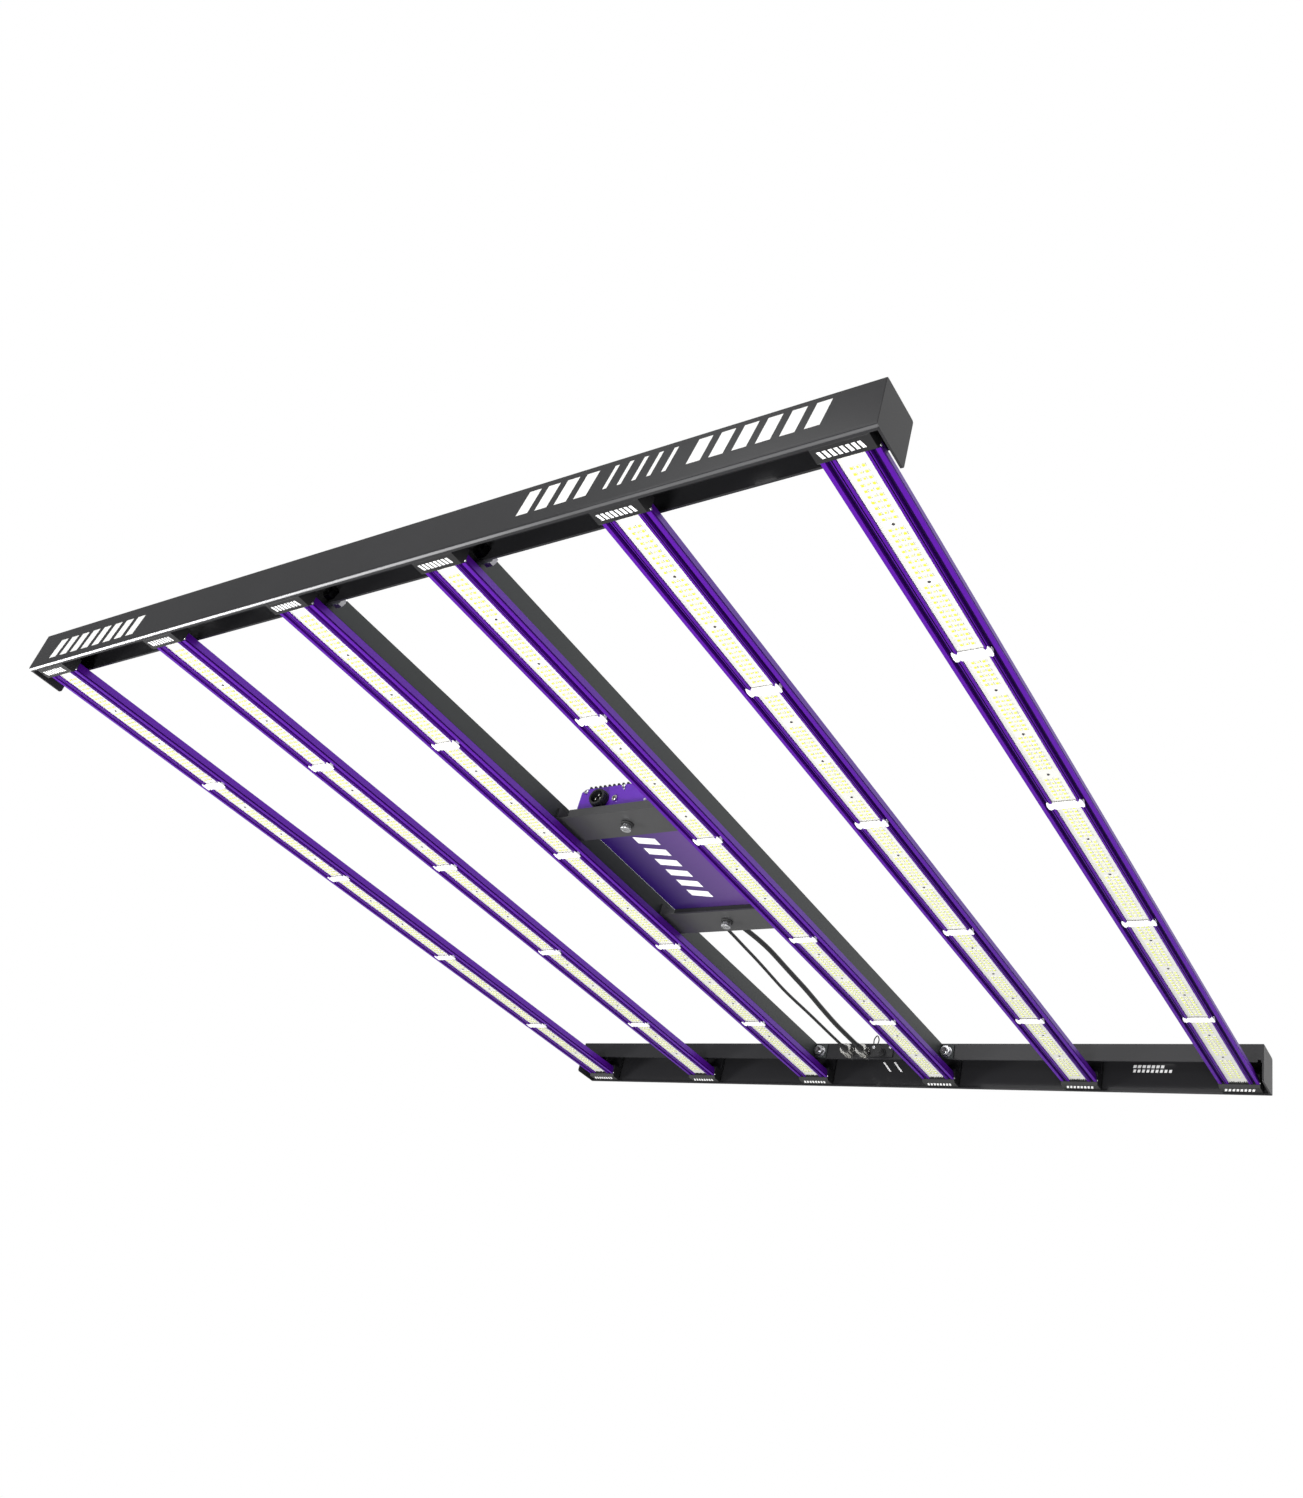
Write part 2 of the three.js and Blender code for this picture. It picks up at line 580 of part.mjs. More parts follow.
// The socket is screwed through the flange: a barrel outside, a collar, and a tail inside.
function socketGeometry(x) {
  const face = INNER_FLANGE_Y;
  const { z, reach, collar, collarRadius, tail, hole } = SOCKET;
  const geometry = turned([
    [0, face - reach], [PLUG.barrel - 0.4, face - reach], [PLUG.barrel, face - reach + 0.4],
    [PLUG.barrel, face - collar], [collarRadius, face - collar], [collarRadius, face - GAP],
    [hole - GAP, face - GAP], [hole - GAP, face + tail], [0, face + tail],
  ]);
  geometry.translate(x, 0, z);
  return geometry;
}

// The plug's body, with a shoulder that the ring pulls on and a tapered strain relief.
function plugGeometry(cable) {
  const front = INNER_FLANGE_Y - SOCKET.reach - GAP;
  const geometry = turned([
    [0, PLUG_BACK - PLUG.relief], [cable.radius + 0.5, PLUG_BACK - PLUG.relief],
    [PLUG.body, PLUG_BACK], [PLUG.body, front - PLUG.shoulder],
    [PLUG.barrel, front - PLUG.shoulder], [PLUG.barrel, front], [0, front],
  ]);
  geometry.translate(cable.socket, 0, SOCKET.z);
  return geometry;
}

// A knurled ring round the socket's barrel and the plug's shoulder, with a lip behind it.
function couplingRingGeometry() {
  const knurls = 14;
  const outline = [];
  for (let i = 0; i < 2 * knurls; i += 1) {
    const turn = (Math.PI * i) / knurls;
    const radius = i % 2 ? PLUG.ring - 0.55 : PLUG.ring;
    outline.push([radius * Math.cos(turn), radius * Math.sin(turn)]);
  }
  const sleeve = shapeOf(outline);
  sleeve.holes.push(roundHole(0, 0, PLUG.barrel + 0.4));
  const lip = shapeOf(outline);
  lip.holes.push(roundHole(0, 0, PLUG.body + 0.4));
  const front = INNER_FLANGE_Y - SOCKET.collar - 2 * GAP;
  const lipFront = INNER_FLANGE_Y - SOCKET.reach - PLUG.shoulder - 2 * GAP;
  return joinAndCut([
    prism(sleeve, 'y', lipFront - 0.5, front),
    prism(lip, 'y', lipFront - PLUG.lip, lipFront),
  ]);
}

function addCables() {
  for (const cable of [POWER_CABLE, DIM_CABLE]) {
    const kind = cable.name.replace('_cable', '');
    addMesh(light, `${kind}_grommet`, grommetGeometry(cable), MATERIAL.rubber);
    addMesh(light, cable.name, tube(ROUTES[cable.name], cable.radius, cable.sides, 30), MATERIAL.rubber);
    addMesh(light, `${kind}_plug`, plugGeometry(cable), MATERIAL.rubber);
    addMesh(light, `${kind}_socket`, socketGeometry(cable.socket), MATERIAL.steel);
    const ring = addMesh(light, `${kind}_coupling_ring`, couplingRingGeometry(), MATERIAL.steel);
    ring.position.set(cable.socket, 0, SOCKET.z);
  }
}

// ---------------------------------------------------------------- control port and dust cap
function controlPortGeometry() {
  const { x, z, barrel, hole, flangeX, flangeBottom, flangeTop } = CONTROL;
  const face = INNER_FLANGE_Y;
  return joinAndCut([
    block([x - flangeX, face - 2.3, flangeBottom], [x + flangeX, face - GAP, flangeTop]),
    rodY(x, z, barrel, face - 11, face - 2),
    rodY(x, z, hole - GAP, face - 1, face + 10),
  ]);
}

// A cup that covers the port's barrel, with a grip rim at its closed end.
function dustCapGeometry() {
  const { x, z, barrel, cap } = CONTROL;
  const mouth = INNER_FLANGE_Y - 5.2;
  const closed = INNER_FLANGE_Y - 14;
  const geometry = turned([
    [0, closed], [cap - 0.6, closed], [cap, closed + 0.6], [cap, mouth], [barrel + 0.3, mouth],
    [barrel + 0.3, closed + 2.4], [0, closed + 2.4],
  ]);
  geometry.translate(x, 0, z);
  return geometry;
}

// A thin strap: an open loop round the port's barrel, then an arch up and over to its screw.
function lanyardGeometry() {
  const { x, z, barrel } = CONTROL;
  const loopY = INNER_FLANGE_Y - 3.9;
  const loopRadius = barrel + 1.3;
  const points = [];
  for (let i = 0; i <= 10; i += 1) {
    const turn = -0.2 * Math.PI + (1.55 * Math.PI * i) / 10;
    points.push([x - loopRadius * Math.cos(turn), loopY, z - loopRadius * Math.sin(turn)]);
  }
  points.reverse();
  points.push([x - 7.2, loopY - 0.3, z + 8], [x - 5.4, loopY - 1, z + 17], [x - 8.5, loopY - 1.6, z + 23]);
  points.push([x - 12.4, loopY - 1.4, z + 18], [x - 12.8, loopY - 0.6, z + 10.5]);
  return tube(points, 0.8, 6, 40);
}

function addControlPort() {
  addMesh(light, 'control_port', controlPortGeometry(), MATERIAL.blackPlastic);
  addMesh(light, 'dust_cap', dustCapGeometry(), MATERIAL.rubber);
  addMesh(light, 'cap_lanyard', lanyardGeometry(), MATERIAL.rubber);
}

// ---------------------------------------------------------------- wiring in the far rail
// One loom along the far rail with a drop and a plug down onto each bar's end block.
function harnessGeometry() {
  const { y, z, trunk, drop } = HARNESS;
  const last = ((BAR_COUNT - 1) / 2) * BAR_PITCH;
  const dropY = LENGTH / 2 - BAR_END.inner + 6;
  const plugBottom = BAR_END.blockTop + GAP;
  const main = new THREE.CylinderGeometry(trunk, trunk, 2 * last + 16, 10);
  main.rotateZ(Math.PI / 2);
  main.translate(0, y, z);
  const pieces = [main];
  for (let index = 0; index < BAR_COUNT; index += 1) {
    const x = (index - (BAR_COUNT - 1) / 2) * BAR_PITCH;
    const path = [[x, y, z], [x, y + 4, z], [x, dropY - 1, z - 2.5], [x, dropY, plugBottom + 5]];
    pieces.push(tube(path, drop, 6, 6));
    pieces.push(block([x - 6, dropY - 4, plugBottom], [x + 6, dropY + 4, plugBottom + 7]));
  }
  return joinAndCut(pieces);
}

// ---------------------------------------------------------------- assembly
addRails();
for (let index = 1; index <= BAR_COUNT; index += 1) {
  addBar(index);
}
addBeams();
addBrackets();
addDriver();
addCables();
addControlPort();
addMesh(light, 'bar_harness', harnessGeometry(), MATERIAL.rubber);

export default light;
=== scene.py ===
"""Looks of a six-bar LED grow light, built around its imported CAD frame.

The light hangs level and the camera looks up at it from below. Lengths in this file are
millimetres in the CAD frame: X along the rails, Y along the bars, Z up. Helpers turn them
into Blender's metres. Marks on the object are plain slanted bars, never letters.
"""

import math

import bmesh
import bpy
from mathutils import Euler, Matrix, Vector


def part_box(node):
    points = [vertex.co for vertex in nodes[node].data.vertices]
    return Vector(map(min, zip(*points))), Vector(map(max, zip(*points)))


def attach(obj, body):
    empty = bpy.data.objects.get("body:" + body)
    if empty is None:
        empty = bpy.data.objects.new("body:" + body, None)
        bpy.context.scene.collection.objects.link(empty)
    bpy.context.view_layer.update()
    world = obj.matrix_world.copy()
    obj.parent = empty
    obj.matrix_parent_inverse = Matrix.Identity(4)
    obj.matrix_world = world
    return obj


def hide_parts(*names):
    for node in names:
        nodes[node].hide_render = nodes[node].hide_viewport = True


MM = 0.001

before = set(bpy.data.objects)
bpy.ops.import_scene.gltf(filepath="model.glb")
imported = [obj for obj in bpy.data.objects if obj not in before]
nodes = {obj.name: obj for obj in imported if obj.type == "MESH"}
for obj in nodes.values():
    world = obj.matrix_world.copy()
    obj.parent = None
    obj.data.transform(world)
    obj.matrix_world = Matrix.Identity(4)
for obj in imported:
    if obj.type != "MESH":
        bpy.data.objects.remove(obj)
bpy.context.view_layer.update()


def node_box(name):
    """A CAD node's lowest and highest corners, in millimetres."""
    low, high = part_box(name)
    return low / MM, high / MM


BARS = range(1, 7)
NEAR_FACE_Y = node_box("near_rail")[0].y
FLANGE_Y, FAR_FACE_Y = (corner.y for corner in node_box("far_rail"))
PLATE_LOW, PLATE_HIGH = node_box("driver_near_plate")
TRAY_LOW, TRAY_HIGH = node_box("driver_tray")
INLET_LOW, INLET_HIGH = node_box("mains_inlet")
BOARD_FACE = node_box("led_board_1")[0].z
BOARD_END = node_box("led_board_1")[1].y
BAR_FACE = node_box("heatsink_1")[0].z
BLOCK_FACE = node_box("far_bar_end_1")[0].z

# The rails are folded from sheet this thick. Their lower folds carry a painted highlight over this
# depth and height.
SHEET = 2
FOLD_DEPTH, FOLD_HEIGHT = 2.6, 1.3

# The near rail's printed marks: first and last x, lowest and highest z, pitch, and the share of
# each pitch that is white.
RAIL_MARKS = [
    (-486, -324, 9, 33, 20.25, 0.62),
    (188, 268, 15.5, 41, 20, 0.62),
    (276, 346, 17, 41, 14, 0.28),
    (354, 474, 17.5, 42, 20, 0.62),
]
MARK_LEAN = 0.24

# The section of a bar, used for the painted shade in its finish: distances from its middle and
# heights. The thin slot, the outer edge of the grooved lips, the notch in each side face, the
# grooves' floors, and the height below which a point counts as part of the underside.
SLOT_SIDES = (13.8, 14.9)
LIP_EDGE = 20
NOTCH_START = 21
NOTCH_HEIGHTS = (5.8, 7.48)
GROOVE_FLOOR = (7.4, 8.4)
UNDERSIDE_TOP = 9

# Stations along a bar where its board has a screw or a clip instead of diodes.
SCREW_YS = (-465.7, -400.2, -261.1, -197.5, -135, -25.5, 40, 175.5, 238.5, 301.2, 403.5, 463.5)
CLIP_YS = [-312.3 + 223.8 * k for k in range(4)]
LED_PITCH = 5.95
FIRST_LED_Y = -526
LED_ROWS = (-4.7, 0, 4.7)

# The control port on the far rail: its centre, its plate's thickness and its screws' distance
# to each side.
PORT_X, PORT_Z = 18, 40.5
PORT_PLATE = 2.3
PORT_SCREW_X = 12.8


def bar_middle(bar):
    low, high = node_box(f"led_board_{bar}")
    return (low.x + high.x) / 2


# ------------------------------------------------------------------ camera, floor and lights
def make_camera():
    data = bpy.data.cameras.new("camera")
    data.lens = 32.12
    data.sensor_width = 36
    data.clip_start = 0.05
    camera = bpy.data.objects.new("camera", data)
    camera.location = (0.8758, -1.0839, -0.6818)
    camera.rotation_euler = Euler([math.radians(a) for a in (122.743, -14.028, 33.076)])
    bpy.context.scene.collection.objects.link(camera)
    bpy.context.scene.camera = camera


def area_light(name, location, target, size, power, depth=None):
    """A disk of this diameter, or with a depth a strip whose long side lies along X."""
    data = bpy.data.lights.new(name, "AREA")
    data.shape = "RECTANGLE" if depth else "DISK"
    data.size = size
    if depth:
        data.size_y = depth
    data.energy = power
    light = bpy.data.objects.new(name, data)
    light.location = location
    direction = Vector(target) - Vector(location)
    light.rotation_euler = direction.to_track_quat("-Z", "Y").to_euler()
    light.visible_camera = False
    bpy.context.scene.collection.objects.link(light)


def make_studio():
    """A white backdrop beyond the far rail, a dimmer room behind the near rail and a pale floor."""
    scene = bpy.context.scene
    scene.view_settings.view_transform = "Standard"
    world = bpy.data.worlds.new("studio")
    world.use_nodes = True
    tree = world.node_tree
    background = tree.nodes["Background"]
    background.inputs["Color"].default_value = (1, 1, 1, 1)
    direction = add(tree, "ShaderNodeTexCoord").outputs["Generated"]
    towards_far = add(tree, "ShaderNodeSeparateXYZ", {0: direction}).outputs[1]
    inputs = {"Value": towards_far, "From Min": -0.35, "From Max": 0.0, "To Min": 0.32, "To Max": 1.0}
    tree.links.new(add(tree, "ShaderNodeMapRange", inputs).outputs[0], background.inputs["Strength"])
    scene.world = world

    mesh = bpy.data.meshes.new("floor")
    half, depth = 12, -2.2
    corners = [(-half, -half, depth), (half, -half, depth), (half, half, depth), (-half, half, depth)]
    mesh.from_pydata(corners, [], [(0, 1, 2, 3)])
    floor = bpy.data.objects.new("floor", mesh)
    scene.collection.objects.link(floor)
    mesh.materials.append(shader("pale_floor", (206, 206, 204), 0.8)[0])

    area_light("key", (2.1, -0.9, -1.9), (0, 0, 0), 0.9, 17)
    area_light("front", (0.4, -3.6, -0.45), (0, 0.5, 0), 0.7, 12)
    area_light("under_fill", (0.3, -1.3, -1.5), (0.1, 0, 0.03), 0.6, 28)
    area_light("high_back", (-0.6, -2.2, 1.3), (0.1, 0.4, 0.03), 1.2, 14)
    area_light("edge", (-2.1, -1.0, -1.1), (-0.2, -0.56, 0), 1.6, 40, depth=0.45)
    area_light("top", (-0.6, 0.2, 2.4), (0, 0, 0), 2.0, 20)


# ------------------------------------------------------------------ materials
def linear(rgb):
    """An sRGB colour given as 0 to 255, as the linear colour that a shader takes."""
    channels = [c / 255 for c in rgb]
    return tuple(c / 12.92 if c <= 0.04045 else ((c + 0.055) / 1.055) ** 2.4 for c in channels) + (1,)


def shader(name, rgb, roughness, metallic=0.0, constants=None):
    """A new material with its Principled shader: (material, node tree, shader node)."""
    material = bpy.data.materials.new(name)
    material.use_nodes = True
    tree = material.node_tree
    bsdf = tree.nodes["Principled BSDF"]
    bsdf.inputs["Base Color"].default_value = linear(rgb)
    bsdf.inputs["Roughness"].default_value = roughness
    bsdf.inputs["Metallic"].default_value = metallic
    for socket, value in (constants or {}).items():
        bsdf.inputs[socket].default_value = value
    return material, tree, bsdf


def add(tree, kind, inputs=None, **settings):
    """A node of this kind, with settings on it and each input a number or another's output."""
    node = tree.nodes.new(kind)
    for key, value in settings.items():
        setattr(node, key, value)
    for key, value in (inputs or {}).items():
        if isinstance(value, bpy.types.NodeSocket):
            tree.links.new(value, node.inputs[key])
        else:
            node.inputs[key].default_value = value
    return node


def maths(tree, operation, a, b=0.0):
    return add(tree, "ShaderNodeMath", {0: a, 1: b}, operation=operation).outputs[0]


def place(tree, stretch=(1, 1, 1)):
    """The point in the frame, in millimetres, each axis divided by its stretch."""
    coords = add(tree, "ShaderNodeTexCoord").outputs["Object"]
    scale = [1 / MM / s for s in stretch]
    return add(tree, "ShaderNodeMapping", {"Vector": coords, "Scale": scale}).outputs[0]


def noise(tree, size, stretch=(1, 1, 1), detail=3.0):
    """Noise from 0 to 1 whose grains are about this many millimetres."""
    inputs = {"Vector": place(tree, stretch), "Scale": 1 / size, "Detail": detail}
    return add(tree, "ShaderNodeTexNoise", inputs).outputs["Fac"]


def ramp(tree, value, low, high, colour_low, colour_high):
    """One colour below low and another above high, with a smooth change between them."""
    node = add(tree, "ShaderNodeValToRGB", {"Fac": value})
    first, last = node.color_ramp.elements
    first.position, first.color = low, linear(colour_low)
    last.position, last.color = high, linear(colour_high)
    return node.outputs["Color"]


def levels(tree, value, low, high):
    """A 0 to 1 value spread from low to high."""
    return add(tree, "ShaderNodeMapRange", {"Value": value, "To Min": low, "To Max": high}).outputs[0]


def blend_colour(tree, mask, below, above):
    node = add(tree, "ShaderNodeMix", data_type="RGBA")
    for socket, value in ((0, mask), (6, below), (7, above)):
        if isinstance(value, bpy.types.NodeSocket):
            tree.links.new(value, node.inputs[socket])
        else:
            node.inputs[socket].default_value = value
    return node.outputs[2]


def bump(tree, bsdf, height, strength, depth):
    """Surface relief of this many millimetres from a height value."""
    inputs = {"Height": height, "Strength": strength, "Distance": depth * MM}
    if bsdf.inputs["Normal"].is_linked:
        inputs["Normal"] = bsdf.inputs["Normal"].links[0].from_socket
    tree.links.new(add(tree, "ShaderNodeBump", inputs).outputs[0], bsdf.inputs["Normal"])


def surface(name, rgb, other_rgb, roughness, metallic=0.0, patch=60, grain=1.0, relief=0.05,
            stretch=(1, 1, 1), constants=None):
    """A finish that drifts between two close colours, with uneven gloss and a fine grain."""
    material, tree, bsdf = shader(name, rgb, roughness, metallic, constants)
    drift = noise(tree, patch, stretch)
    tree.links.new(ramp(tree, drift, 0.3, 0.7, rgb, other_rgb), bsdf.inputs["Base Color"])
    fine = noise(tree, grain, stretch, 2.0)
    tree.links.new(levels(tree, fine, roughness - 0.06, roughness + 0.08), bsdf.inputs["Roughness"])
    bump(tree, bsdf, fine, 0.5, relief)
    return material, tree, bsdf


def band(tree, value, low, high):
    """1 where a value lies between low and high, else 0."""
    above = maths(tree, "GREATER_THAN", value, low)
    return maths(tree, "MULTIPLY", above, maths(tree, "LESS_THAN", value, high))


# ------------------------------------------------------------------ mesh building, in millimetres
def add_box(bm, low, high, material=0):
    xs, ys, zs = zip(low, high)
    corners = [bm.verts.new((x, y, z)) for z in zs for y in ys for x in xs]
    for loop in ((0, 2, 3, 1), (4, 5, 7, 6), (0, 1, 5, 4), (2, 6, 7, 3), (0, 4, 6, 2), (1, 3, 7, 5)):
        bm.faces.new([corners[i] for i in loop]).material_index = material


def add_prism(bm, outline, start, end, place_point, material=0):
    """An outline of (u, v) points swept from start to end; place_point(u, v, w) gives (x, y, z)."""
    rings = [[bm.verts.new(place_point(u, v, w)) for u, v in outline] for w in (start, end)]
    count = len(outline)
    for i in range(count):
        j = (i + 1) % count
        bm.faces.new((rings[0][i], rings[0][j], rings[1][j], rings[1][i])).material_index = material
    bm.faces.new(rings[0][::-1]).material_index = material
    bm.faces.new(rings[1]).material_index = material


def add_turned(bm, profile, centre, axis, segments=32, material=0):
    """A solid turned about an axis through centre, from (radius, distance along it) points."""
    def point(radius, along, turn):
        a, b = radius * math.cos(turn), radius * math.sin(turn)
        offset = {"x": (along, a, b), "y": (a, along, b), "z": (a, b, along)}[axis]
        return Vector(centre) + Vector(offset)

    rings = []
    for radius, along in profile:
        if radius == 0:
            rings.append([bm.verts.new(point(0, along, 0))])
        else:
            turns = [2 * math.pi * i / segments for i in range(segments)]
            rings.append([bm.verts.new(point(radius, along, turn)) for turn in turns])
    for first, second in zip(rings, rings[1:]):
        for i in range(segments):
            j = (i + 1) % segments
            if len(first) == 1:
                loop = (first[0], second[i], second[j])
            elif len(second) == 1:
                loop = (first[i], second[0], first[j])
            else:
                loop = (first[i], second[i], second[j], first[j])
            bm.faces.new(loop).material_index = material


def pan_head(radius, height, sign):
    """The profile of a pan head with a round driver recess, which faces along sign."""
    steps = ((0, 0.4), (0.34, 0.4), (0.42, 0.95), (0.62, 1), (0.88, 0.8), (1, 0.35))
    profile = [(r * radius, along * height * sign) for r, along in steps]
    return profile + [(radius, -0.1 * sign), (0, -0.1 * sign)]


def add_bar_row(bm, first, last, low, high, count, place_point, start, end, duty=0.62, lean=0.3):
    """A row of slanted bars from first to last, each from low to high: a plain printed mark."""
    pitch = (last - first) / count
    shift = lean * (high - low)
    for k in range(count):
        u = first + k * pitch
        right = u + duty * pitch
        outline = [(u, low), (right, low), (right + shift, high), (u + shift, high)]
        add_prism(bm, outline, start, end, place_point)


def make_piece(name, bm, materials, body="frame", smooth_angle=None, bevel=0.0, steps=2):
    """Turns a millimetre bmesh into a named piece that rides on a body."""
    bmesh.ops.recalc_face_normals(bm, faces=bm.faces)
    mesh = bpy.data.meshes.new(name)
    bm.to_mesh(mesh)
    bm.free()
    mesh.transform(Matrix.Scale(MM, 4))
    for material in materials:
        mesh.materials.append(material)
    piece = bpy.data.objects.new(name, mesh)
    bpy.context.scene.collection.objects.link(piece)
    if smooth_angle:
        mesh.polygons.foreach_set("use_smooth", [True] * len(mesh.polygons))
        mesh.set_sharp_from_angle(angle=math.radians(smooth_angle))
    if bevel:
        soften(piece, bevel, steps)
    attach(piece, body)
    return piece


def soften(piece, width, steps=2, angle=35):
    """Rounds the sharp edges of a piece by this many millimetres."""
    modifier = piece.modifiers.new("soft_edges", "BEVEL")
    modifier.width = width * MM
    modifier.segments = steps
    modifier.limit_method = "ANGLE"
    modifier.angle_limit = math.radians(angle)
    modifier.harden_normals = False


def finish_node(name, material):
    """Gives a CAD node its material."""
    node = nodes[name]
    node.data.materials.clear()
    node.data.materials.append(material)


# ------------------------------------------------------------------ finishes
def slanted_marks(tree, along, across, first, last, low, high, pitch, width):
    """A mask of slanted bars between two stations, in the band from low to high."""
    shifted = maths(tree, "SUBTRACT", along, maths(tree, "MULTIPLY", across, MARK_LEAN))
    beyond_first = maths(tree, "SUBTRACT", shifted, first)
    phase = maths(tree, "FRACT", maths(tree, "DIVIDE", beyond_first, pitch))
    bars = maths(tree, "LESS_THAN", phase, width)
    bars = maths(tree, "MULTIPLY", bars, band(tree, shifted, first, last))
    return maths(tree, "MULTIPLY", bars, band(tree, across, low, high))


def rail_finish():
    """Black powder coat with white slanted bars on the near rail's face, and a painted highlight on
    the lower folds that fades towards +X."""
    coat = {"Specular IOR Level": 0.2, "Coat Weight": 0.2, "Coat Roughness": 0.14}
    material, tree, bsdf = surface("rail_powder_coat", (34, 34, 36), (39, 39, 41), 0.5,
                                   patch=140, grain=0.9, relief=0.04, constants=coat)
    split = add(tree, "ShaderNodeSeparateXYZ", {0: place(tree)})
    x, y, z = split.outputs
    marks = 0.0
    for row in RAIL_MARKS:
        marks = maths(tree, "ADD", marks, slanted_marks(tree, x, z, *row))
    outer_face = maths(tree, "LESS_THAN", y, NEAR_FACE_Y + SHEET / 4)
    mask = maths(tree, "MULTIPLY", marks, outer_face)
    plain = bsdf.inputs["Base Color"].links[0].from_socket
    printed = blend_colour(tree, mask, plain, linear((240, 240, 238)))
    # Painted highlight: the lower folds are blended to pale grey and made metallic, fading towards +X.
    beyond = maths(tree, "GREATER_THAN", maths(tree, "ABSOLUTE", y), FAR_FACE_Y - FOLD_DEPTH)
    fold = maths(tree, "MULTIPLY", beyond, maths(tree, "LESS_THAN", z, FOLD_HEIGHT))
    fading = {"Value": x, "From Min": -200, "From Max": 250, "To Min": 1, "To Max": 0.12}
    fold = maths(tree, "MULTIPLY", fold, add(tree, "ShaderNodeMapRange", fading).outputs[0])
    fold_highlight = blend_colour(tree, fold, printed, linear((186, 186, 188)))
    tree.links.new(fold_highlight, bsdf.inputs["Base Color"])
    tree.links.new(maths(tree, "MULTIPLY", fold, 0.8), bsdf.inputs["Metallic"])
    return material


def purple_finish():
    """Purple anodised extrusion with fine lines along its length, with painted shade that is light
    on its lips and deep in its slots, notches and grooves."""
    material, tree, bsdf = surface("purple_anodise", (84, 12, 150), (92, 17, 162), 0.42, 0.3, patch=30,
                                   grain=0.5, relief=0.012, stretch=(1, 60, 1),
                                   constants={"Specular IOR Level": 0.2})
    x, _, z = add(tree, "ShaderNodeSeparateXYZ", {0: place(tree)}).outputs
    half_pitch = bar_middle(4)
    aside = maths(tree, "SUBTRACT", half_pitch, maths(tree, "PINGPONG", x, half_pitch))
    inputs = {"Value": z, "From Min": GROOVE_FLOOR[0], "From Max": GROOVE_FLOOR[1]}
    depth = add(tree, "ShaderNodeMapRange", inputs).outputs[0]
    on_lips = maths(tree, "LESS_THAN", aside, LIP_EDGE)
    underside = maths(tree, "LESS_THAN", z, UNDERSIDE_TOP)
    in_groove = maths(tree, "MULTIPLY", maths(tree, "MULTIPLY", depth, on_lips), underside)
    in_slot = maths(tree, "MULTIPLY", band(tree, aside, *SLOT_SIDES), underside)
    on_side = maths(tree, "GREATER_THAN", aside, NOTCH_START)
    in_notch = maths(tree, "MULTIPLY", band(tree, z, *NOTCH_HEIGHTS), on_side)
    # Painted shade: slots, notches and groove floors are blended almost fully to deep purple, the lips a
    # little.
    hollow = maths(tree, "MAXIMUM", maths(tree, "MAXIMUM", in_groove, in_notch), in_slot)
    hollow_shade = maths(tree, "MULTIPLY", hollow, 0.9)
    lip_shade = maths(tree, "MULTIPLY", on_lips, 0.14)
    painted_shade = maths(tree, "MAXIMUM", hollow_shade, lip_shade)
    plain = bsdf.inputs["Base Color"].links[0].from_socket
    tree.links.new(blend_colour(tree, painted_shade, plain, linear((24, 2, 50))), bsdf.inputs["Base Color"])
    return material


def driver_finish():
    """Purple enamel with painted shading: dark towards one long side of the underside and paler towards
    the other.
    """
    material, tree, bsdf = surface("driver_enamel", (92, 52, 160), (98, 58, 166), 0.38, 0.1,
                                   patch=80, grain=0.7, relief=0.02)
    x = add(tree, "ShaderNodeSeparateXYZ", {0: place(tree)}).outputs[0]
    inputs = {"Value": x, "From Min": TRAY_LOW.x, "From Max": TRAY_HIGH.x}
    shading_slope = add(tree, "ShaderNodeMapRange", inputs).outputs[0]
    # Painted shading: the colour runs from dark to pale across the underside.
    colour = ramp(tree, shading_slope, 0.05, 0.8, (35, 8, 86), (86, 57, 121))
    tree.links.new(colour, bsdf.inputs["Base Color"])
    return material


def bolt_finish():
    """Zinc-plated bolts, coloured near black where they lie inside the rails, past the flange."""
    material, tree, bsdf = surface("zinc_plated_bolt", (196, 197, 200), (214, 214, 216), 0.28, 1,
                                   patch=5, grain=0.3, relief=0.01)
    y = add(tree, "ShaderNodeSeparateXYZ", {0: place(tree)}).outputs[1]
    inside = maths(tree, "GREATER_THAN", maths(tree, "ABSOLUTE", y), FLANGE_Y + SHEET / 2)
    plain = bsdf.inputs["Base Color"].links[0].from_socket
    dark_inside = blend_colour(tree, inside, plain, linear((22, 22, 24)))
    tree.links.new(dark_inside, bsdf.inputs["Base Color"])
    return material


def driver_end_finish():
    """The brighter purple enamel of the driver's two end plates."""
    return surface("driver_end_enamel", (96, 34, 176), (104, 40, 186), 0.36, 0.1,
                   patch=60, grain=0.7, relief=0.02)[0]


